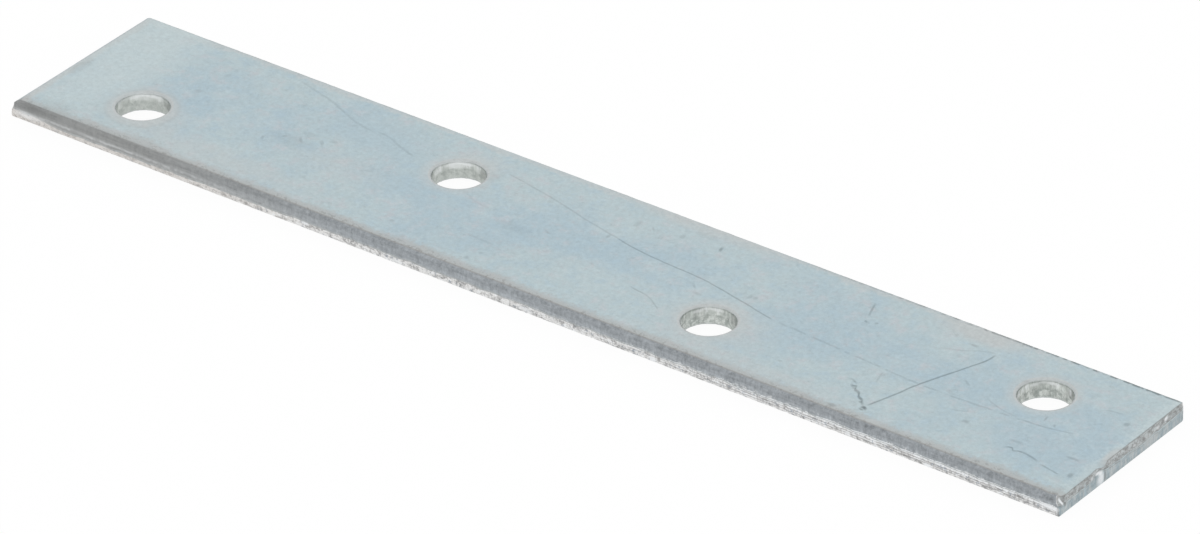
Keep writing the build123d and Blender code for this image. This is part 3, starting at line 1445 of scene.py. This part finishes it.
        # A wide faint halo and a narrow strong one round each hole.
        for hole in plate.holes():
            away = self.distance(x, y, hole.centre)
            halo = (away + (drift - 0.5) * 1.2).rise(hole.radius + 2.0, hole.radius + 0.6) * 0.45
            lip = away.rise(hole.radius + 0.6, hole.radius + 0.4) * 0.9
            colour = graph.mix(halo.at_least(lip), colour, self.warm)

        # A pale disc and a dark ring round the first hole, a little off its axis.
        first = plate.holes()[0]
        away = self.distance(x, y, (first.centre[0] + 0.35, first.centre[1] - 0.5))
        colour = graph.mix(away.rise(first.radius + 1.4, first.radius + 0.9) * 0.25, colour, self.warm)
        ring = (away + drift * 0.4).near(first.radius + 1.4, 0.4, 0.05) * 0.05
        colour = self.lay(at, colour, FILMS)

        # Darkness: the strongest of scratches, stains, grains at the front and chips at the back.
        breaks = at.noise(0.6, 2.0)
        marks = SCRATCHES[0].mask(x, y, breaks)
        for scratch in SCRATCHES[1:]:
            marks = marks.at_least(scratch.mask(x, y, breaks))
        marks = marks * at.z.rise(1.4, 2.1)
        stains = at.noise(0.9, 4.0, 0.7).rise(0.58, 0.8) * 0.14
        grains = fine.rise(0.5, 0.62) * front * 0.12
        chips = y.rise(side - 0.6, side - 0.3) * breaks.rise(0.42, 0.56) * x.rise(10.0, 65.0) * 0.5
        marks = marks.at_least(stains).at_least(grains).at_least(chips).at_least(ring)
        relief = (fine - 0.5) * 0.3 + (drift - 0.5) * 0.15
        return graph.tint(colour, (0.8 + fine * 0.4) * (1.0 - marks)), relief, marks

    @staticmethod
    def distance(x: Value, y: Value, centre: tuple[float, float]) -> Value:
        """Plan distance from a centre: the root of the two offsets' squares added up."""
        return ((x - centre[0]) ** 2.0 + (y - centre[1]) ** 2.0) ** 0.5

    def cut_face(self, at: Surface) -> tuple[Any, Value]:
        """Finish of the sheared sides: drawn streaks on the land, light and dark facets where it tore,
        painted highlights and painted shade lines.

        Patterns are stretched: streaks upright, dashes a little lengthways and bands far lengthways.

        Args:
            at: The surface.

        Returns:
            Colour and relief.
        """
        graph, x, z, torn, end = at.graph, at.x, at.z, at.torn, at.end
        streaks = graph.noise(graph.stretched(at.where, (1.0, 1.0, 0.2)), 0.3, 3.0, 0.8)
        bands = graph.noise(graph.stretched(at.where, (0.06, 0.06, 1.0)), 0.16, 3.0, 0.7)
        dashes = graph.noise(graph.stretched(at.where, (0.4, 0.4, 1.0)), 0.2, 2.0, 0.7)
        flecks, chunks = at.noise(0.24, 3.0, 0.8), at.noise(0.55, 2.0)
        side = 1.0 - end
        left, right = x.rise(-20.0, -60.0) * side, x.rise(-10.0, 45.0) * side

        # The land: browner and calmer to the left, lighter lower down, with a painted highlight line on the
        # left and painted sparkles above the tear's border.
        land = graph.mix(end, self.land, graph.mix(streaks.rise(0.4, 0.62), self.end_land, self.end_streak))
        land = graph.mix(left * 0.5, land, self.brown)
        low = z.rise(2.1, 1.2) * side
        crisp = 1.0 - left * 0.6
        shade = 1.02 + (streaks - 0.5) * crisp * 0.8 + (bands - 0.5) * 0.6
        shade = shade + (flecks - 0.5) * crisp * (1.2 - end * 0.6)
        shade = shade * (1.0 - left * 0.06) * (1.0 + low * 0.16)
        # Painted highlight: a light line across the land on the left, then painted sparkles above the tear's
        # border.
        line = (z + (chunks - 0.5) * 0.6).near(1.25, 0.3) * left * (0.1 + chunks.rise(0.4, 0.6) * 0.2)
        land = graph.mix(line, graph.tint(land, shade), self.bright)
        painted_sparks = (dashes * 0.5 + flecks * 0.5).rise(0.52, 0.6) * z.rise(1.7, 1.15) * right
        land = graph.mix(painted_sparks * 0.55, land, self.torn_light)

        # The long torn zones: facets, to the right also darker lines and rows of painted highlights, to the
        # left beige, and painted glints except on the left.
        level = z + (bands - 0.5) * 0.25
        light = (flecks * 0.45 + dashes * 0.35 + streaks * 0.2).rise(0.385, 0.555)
        dark_lines = level.near(0.7, 0.12, 0.02).at_least(level.near(0.4, 0.12, 0.02)) * right * 0.6
        long_torn = graph.mix(light * (1.0 - dark_lines), self.torn_dark, self.torn_light)
        # Rows of painted highlights, then painted glints.
        row = level.near(0.55, 0.12, 0.04) * right * (dashes * 0.6 + streaks * 0.4).rise(0.44, 0.56)
        long_torn = graph.mix(row * 0.7, long_torn, self.bright)
        row = level.near(0.88, 0.17, 0.05) * x.rise(0.0, 60.0)
        row = row * (dashes * 0.4 + streaks * 0.6).rise(0.41, 0.55)
        long_torn = graph.mix(row * 0.85, long_torn, self.bright)
        long_torn = graph.mix(flecks.rise(0.5, 0.4) * chunks.rise(0.5, 0.62) * 0.6, long_torn, self.fleck)
        long_torn = graph.mix(left * 0.55, long_torn, self.beige)
        painted_glints = (dashes * 0.6 + flecks * 0.4).rise(0.56, 0.64) * (1.0 - left)
        long_torn = graph.mix(painted_glints, long_torn, self.bright)

        # The short torn zones: facets with brown cracks, which follow the middle of a noise.
        patches = (dashes * 0.4 + flecks * 0.4 + chunks * 0.2).rise(0.385, 0.57)
        cracks = (chunks + (flecks - 0.5) * 0.3).near(0.5, 0.03, 0.005) * 0.45
        end_torn = graph.mix(cracks, graph.mix(patches, self.end_dark, self.end_light), self.brown_and_edge_shade)
        colour = graph.mix(torn, land, graph.mix(end, long_torn, end_torn))

        # The border between land and tear: a painted highlight line on the front, a painted shade line on the
        # ends.
        border = torn * (1.0 - torn) * 4.0
        glow = (dashes * 0.5 + streaks * 0.5 + x.rise(30.0, 75.0) * 0.14).rise(0.43, 0.53)
        colour = graph.mix(border.rise(0.1, 0.5) * right * glow, colour, self.bright)
        colour = graph.mix(border * end * (0.45 + chunks.rise(0.42, 0.58) * 0.45), colour, self.brown_and_edge_shade)
        lumps = (chunks - 0.5) * (0.5 - end * 0.3) + (flecks - 0.5) * 0.5
        return colour, (streaks - 0.5) * 0.3 * (1.0 - torn) + lumps * torn

    def hole_wall(self, at: Surface) -> Any:
        """Finish of the hole walls: upright streaks, painted glints under the lip, darker and mottled where
        it tore.

        The two left holes are softer: their streaks and dark mottling are fainter, and a smooth painted sheen
        takes the place of the painted glints.

        Args:
            at: The surface.

        Returns:
            Colour.
        """
        graph, torn = at.graph, at.torn
        upright = graph.stretched(at.where, (1.0, 1.0, 0.25))
        streaks, coarse = graph.noise(upright, 0.28, 3.0, 0.8), graph.noise(upright, 0.75, 2.0, 0.6)
        mottle = at.noise(0.4, 3.0, 0.75)
        crisp = 0.35 + at.x.rise(-30.0, 15.0) * 0.65
        dark_mottle = mottle.rise(0.4, 0.6) * crisp + (0.5 - crisp * 0.5)
        colour = graph.mix(dark_mottle * (0.3 + torn * 0.35), self.bore, self.bore_dark)
        colour = graph.mix(coarse.rise(0.5, 0.36) * (1.0 - torn) * 0.3, colour, self.bore_dark)
        colour = graph.tint(colour, 1.0 + (streaks - 0.5) * crisp * 1.3 - torn * 0.04)
        # Painted highlights: glints under the lip, and a painted sheen on the left holes.
        painted_glints = at.z.rise(1.2, 1.6) * (coarse * 0.6 + streaks * 0.25 + mottle * 0.15).rise(0.49, 0.58)
        soft = at.x.rise(0.0, -40.0)
        painted_shine = painted_glints * (0.7 - soft * 0.45) + at.z.rise(1.7, 2.2) * soft * 0.3
        return graph.mix(painted_shine, colour, self.bright)


# --- The studio ---


@dataclass(frozen=True)
class Softbox:
    """A square lamp that points at the plate.

    Attributes:
        name: What the lamp is called.
        place: Where it hangs, in metres.
        size: Side of its square, in metres.
        power: Its power, in watts.
    """

    name: str
    place: tuple[float, float, float]
    size: float
    power: float

    def light(self) -> bpy.types.Object:
        """Hang the lamp and turn it towards the plate.

        Returns:
            The lamp.
        """
        data = bpy.data.lights.new(self.name, "AREA")
        data.shape, data.size, data.energy = "SQUARE", self.size, self.power
        lamp = bpy.data.objects.new(self.name, data)
        lamp.location = self.place
        lamp.rotation_euler = (-Vector(self.place)).to_track_quat("-Z", "Y").to_euler()
        bpy.context.scene.collection.objects.link(lamp)
        return lamp


@dataclass(frozen=True)
class Studio:
    """Pale floor, soft lamps and camera.

    Attributes:
        floor_size: Side of the square floor, in metres.
        floor_drop: How far the floor lies under the plate, in metres.
        floor_white: Share of plain white in the floor as the camera sees it. The rest shows the shadow.
        camera_place: Where the camera stands, in metres.
        camera_aim: The point on the floor that it looks at, in metres.
        camera_roll: Turn about the line of sight, in degrees.
        focal_length: Lens length, in millimetres.
        sensor_width: Width of the sensor, in millimetres.
        clip_range: Nearest and farthest distance that the camera sees, in metres.
        paper: Colour of the floor where it shows the shadow.
        white: Colour of the lit floor and of the room.
        boxes: The lamps.
    """

    floor_size: float = 6.0
    floor_drop: float = 2e-5
    floor_white: float = 0.94
    camera_place: tuple[float, float, float] = (0.5383, -0.7188, 0.5391)
    camera_aim: tuple[float, float, float] = (0.00198, 0.00079, 0.0)
    camera_roll: float = -0.285
    focal_length: float = 271.4
    sensor_width: float = 36.0
    clip_range: tuple[float, float] = (0.01, 50.0)
    paper: Colour = (0.95, 0.95, 0.95, 1.0)
    white: Colour = (1.0, 1.0, 1.0, 1.0)
    boxes: tuple[Softbox, ...] = (
        Softbox("back_softbox", (-0.6, 1.0, 0.9), 1.0, 0.3),
        Softbox("top_softbox", (0.3, -0.2, 1.4), 1.0, 0.5),
    )

    def white_for_camera(self, graph: Graph) -> Value:
        """1 for rays from the camera, from a reflection or through glass, and 0 for the rest.

        Args:
            graph: Where the nodes go.

        Returns:
            The value.
        """
        path = graph.node("LightPath").outputs
        names = ("Camera", "Glossy", "Transmission")
        camera, glossy, through = (Value(graph, path[f"Is {name} Ray"]) for name in names)
        return camera.at_least(glossy).at_least(through)

    def floor(self) -> bpy.types.Object:
        """Lay the floor just under the plate: mostly plain white, with some of the plate's shadow.

        Returns:
            The floor.
        """
        half, drop = self.floor_size / 2.0, -self.floor_drop
        mesh = bpy.data.meshes.new("floor")
        corners = [(-half, -half, drop), (half, -half, drop), (half, half, drop), (-half, half, drop)]
        mesh.from_pydata(corners, [], [(0, 1, 2, 3)])
        floor = bpy.data.objects.new("floor", mesh)
        bpy.context.scene.collection.objects.link(floor)
        paper = bpy.data.materials.new("pale_paper")
        paper.use_nodes = True
        graph = Graph(paper.node_tree)
        matt = graph.node("BsdfDiffuse", {}, {"Color": self.paper})
        glow = graph.node("Emission", {}, {"Color": self.white, "Strength": 1.0})
        share = self.white_for_camera(graph) * self.floor_white
        blend = graph.node("MixShader", {}, {0: share, 1: matt.outputs[0], 2: glow.outputs[0]})
        graph.node("OutputMaterial", {}, {"Surface": blend.outputs[0]})
        mesh.materials.append(paper)
        return floor

    def sky(self) -> None:
        """Light the scene evenly from all round with white."""
        world = bpy.data.worlds.new("soft_room")
        world.use_nodes = True
        bpy.context.scene.world = world
        graph = Graph(world.node_tree)
        back = graph.node("Background", {}, {"Color": self.white, "Strength": 1.0})
        graph.node("OutputWorld", {}, {"Surface": back.outputs[0]})

    def camera(self) -> bpy.types.Object:
        """Stand the camera, aim it and roll it about its line of sight.

        Returns:
            The camera.
        """
        data = bpy.data.cameras.new("camera")
        data.lens, data.sensor_width, data.sensor_fit = self.focal_length, self.sensor_width, "HORIZONTAL"
        data.clip_start, data.clip_end = self.clip_range
        camera = bpy.data.objects.new("camera", data)
        place = Vector(self.camera_place)
        aim = (Vector(self.camera_aim) - place).to_track_quat("-Z", "Y").to_matrix().to_4x4()
        roll = Matrix.Rotation(math.radians(self.camera_roll), 4, "Z")
        camera.matrix_world = Matrix.Translation(place) @ aim @ roll
        bpy.context.scene.collection.objects.link(camera)
        bpy.context.scene.camera = camera
        return camera

    def build(self) -> None:
        """Set up the floor, the lamps, the room and the camera."""
        self.floor()
        for box in self.boxes:
            box.light()
        self.sky()
        self.camera()
        bpy.context.scene.view_settings.view_transform = "Standard"


def main() -> None:
    """Build the plate, dress it, hang it on the root body, hide the CAD plate and set the studio."""
    logging.basicConfig(level=logging.INFO, format="%(name)s: %(message)s")
    plate = MendingPlate.from_node("plate")
    piece = plate.build()
    piece.data.materials.append(ZincFinish().material(plate))
    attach(piece, "root")
    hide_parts("plate")
    Studio().build()
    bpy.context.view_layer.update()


if __name__ == "__main__":
    main()
